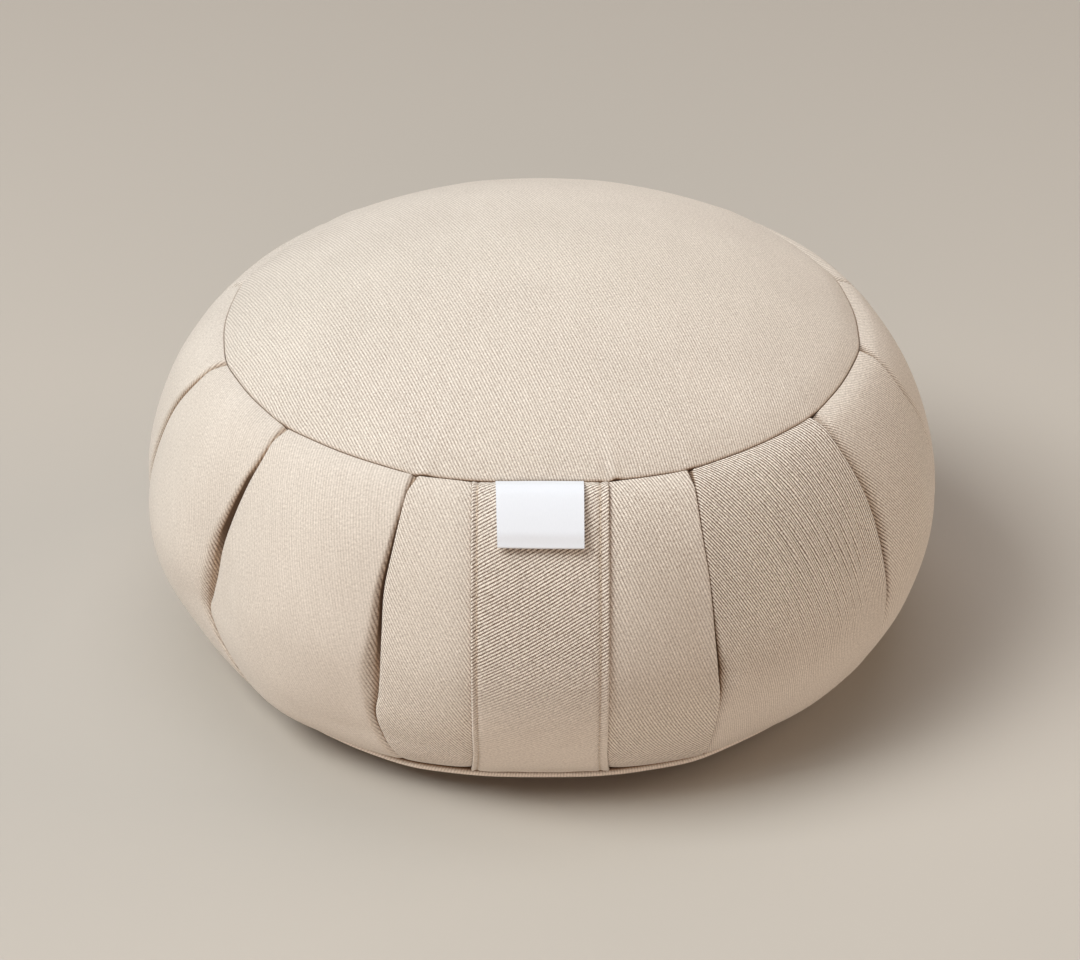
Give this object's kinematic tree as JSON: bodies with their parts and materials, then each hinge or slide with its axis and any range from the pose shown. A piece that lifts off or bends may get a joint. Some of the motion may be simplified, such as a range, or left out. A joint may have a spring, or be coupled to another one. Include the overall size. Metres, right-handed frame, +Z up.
{
  "type": "zafu meditation cushion",
  "caption": "Round filled meditation cushion with a pleated side band, crowned top disc, front placket and a bare sewn label.",
  "frame": {"origin": "centre of the flat base, on the floor", "axes": "+Z up through the crown, -Y towards the front placket and label, +X to the right seen from the front"},
  "size_m": [0.3299, 0.3316, 0.1713],
  "materials": {
    "cotton_twill": "natural undyed cotton twill, matt, diagonal wales about 1.3 mm apart",
    "label_tape": "bare white woven satin tape, faint sheen"
  },
  "bodies": {
    "root": {"filled_body": "cotton_twill", "top_panel": "cotton_twill", "bottom_panel": "cotton_twill", "front_placket": "cotton_twill", "label_tab": "label_tape"}
  },
  "joints": []
}
